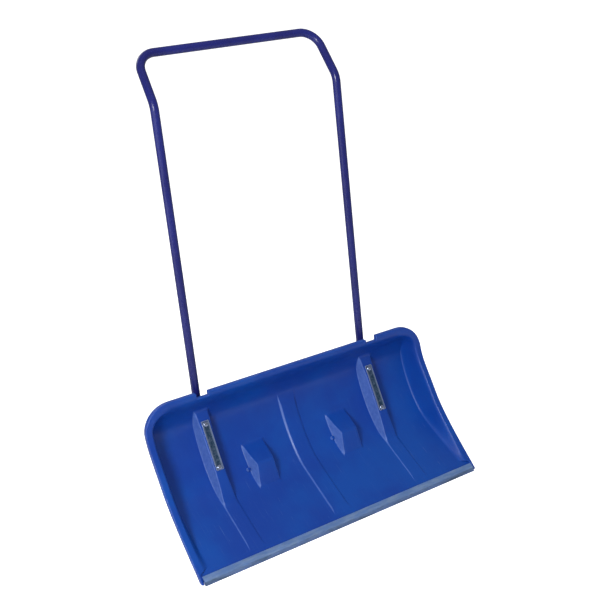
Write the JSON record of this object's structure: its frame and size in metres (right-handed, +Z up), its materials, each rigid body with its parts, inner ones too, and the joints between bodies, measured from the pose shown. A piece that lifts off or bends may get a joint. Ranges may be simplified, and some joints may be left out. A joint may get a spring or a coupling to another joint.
{
  "type": "wheeled snow shovel",
  "caption": "Wide curved plastic snow scoop with a steel wear strip, a bent tube handle bolted through its back, and a wheel behind each side.",
  "frame": {"origin": "on the floor, under the middle of the shovel's width and depth, standing on its wear strip and both wheels", "axes": "+X across the blade, to the left hand of the user who pushes; +Y from the cutting edge towards the user; +Z up"},
  "size_m": [0.797, 0.3921, 1.1163],
  "materials": {
    "blade_plastic": "moulded blue plastic, satin, lightly scuffed",
    "tube_paint": "glossy dark blue powder coat on steel tube",
    "zinc_steel": "zinc plated, satin",
    "strip_steel": "bare steel, dull, brushed along its length",
    "tyre_rubber": "matt black rubber",
    "grey_plastic": "moulded dark grey plastic",
    "nylon": "off-white nylon"
  },
  "bodies": {
    "frame": {"blade": "blade_plastic", "wear_strip": "strip_steel", "strip_screw_1": "zinc_steel", "strip_screw_2": "zinc_steel", "strip_screw_3": "zinc_steel", "strip_screw_4": "zinc_steel", "strip_screw_5": "zinc_steel", "handle_tube": "tube_paint", "left_tube_plug": "grey_plastic", "left_clamp_plate": "zinc_steel", "left_upper_bolt": "zinc_steel", "left_upper_washer": "zinc_steel", "left_upper_nut": "zinc_steel", "left_lower_bolt": "zinc_steel", "left_lower_washer": "zinc_steel", "left_lower_nut": "zinc_steel", "left_axle_bolt": "zinc_steel", "left_axle_washer": "zinc_steel", "left_axle_nut": "zinc_steel", "left_inner_spacer": "zinc_steel", "left_outer_spacer": "zinc_steel", "right_tube_plug": "grey_plastic", "right_clamp_plate": "zinc_steel", "right_upper_bolt": "zinc_steel", "right_upper_washer": "zinc_steel", "right_upper_nut": "zinc_steel", "right_lower_bolt": "zinc_steel", "right_lower_washer": "zinc_steel", "right_lower_nut": "zinc_steel", "right_axle_bolt": "zinc_steel", "right_axle_washer": "zinc_steel", "right_axle_nut": "zinc_steel", "right_inner_spacer": "zinc_steel", "right_outer_spacer": "zinc_steel"},
    "left_wheel": {"left_tyre": "tyre_rubber", "left_wheel_core": "grey_plastic", "left_bush": "nylon"},
    "right_wheel": {"right_tyre": "tyre_rubber", "right_wheel_core": "grey_plastic", "right_bush": "nylon"}
  },
  "joints": [
    {"name": "left_wheel_spin", "type": "hinge", "parent": "frame", "child": "left_wheel", "pos_m": [-0.1235, 0.04404, 0.08], "axis": [1, 0, 0], "continuous": true},
    {"name": "right_wheel_spin", "type": "hinge", "parent": "frame", "child": "right_wheel", "pos_m": [0.1235, 0.04404, 0.08], "axis": [1, 0, 0], "continuous": true}
  ]
}
